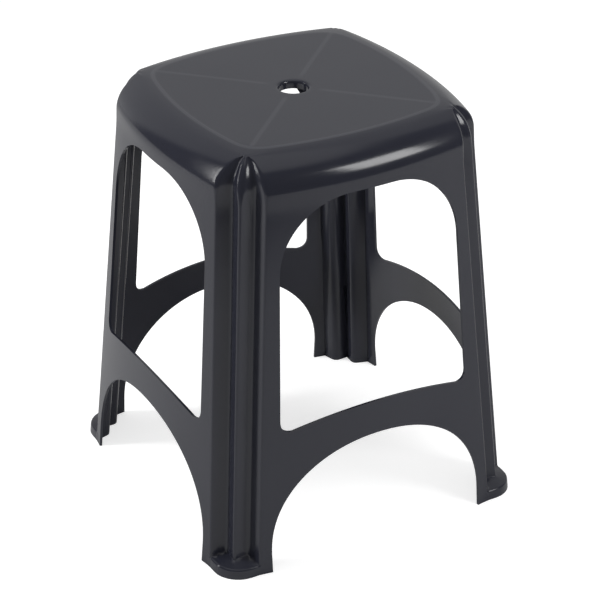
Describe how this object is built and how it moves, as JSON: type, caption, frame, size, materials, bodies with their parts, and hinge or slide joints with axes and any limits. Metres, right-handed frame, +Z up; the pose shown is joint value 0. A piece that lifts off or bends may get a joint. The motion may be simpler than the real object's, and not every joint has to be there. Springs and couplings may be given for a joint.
{
  "type": "stacking stool",
  "caption": "Square plastic stacking stool with bowed sides, fluted tapered corner legs, low rails, a rolled seat rim and a finger hole in the seat.",
  "frame": {"origin": "on the floor, below the middle of the seat", "axes": "+Z up through the seat; +X and +Y square to the stool's sides; the front side faces -Y"},
  "size_m": [0.3634, 0.3634, 0.45],
  "materials": {
    "plastic": "dark charcoal grey moulded plastic, satin gloss with fine scuffs"
  },
  "bodies": {
    "root": {"seat_panel": "plastic", "hole_collar": "plastic", "seat_rib_1": "plastic", "seat_rib_2": "plastic", "seat_rib_3": "plastic", "seat_rib_4": "plastic", "rim_front_left": "plastic", "rim_front_right": "plastic", "rim_back_left": "plastic", "rim_back_right": "plastic", "apron_front": "plastic", "apron_right": "plastic", "apron_back": "plastic", "apron_left": "plastic", "leg_front_left": "plastic", "leg_front_right": "plastic", "leg_back_left": "plastic", "leg_back_right": "plastic", "rail_front": "plastic", "rail_right": "plastic", "rail_back": "plastic", "rail_left": "plastic", "toe_front_left": "plastic", "toe_front_right": "plastic", "toe_back_left": "plastic", "toe_back_right": "plastic"}
  },
  "joints": []
}
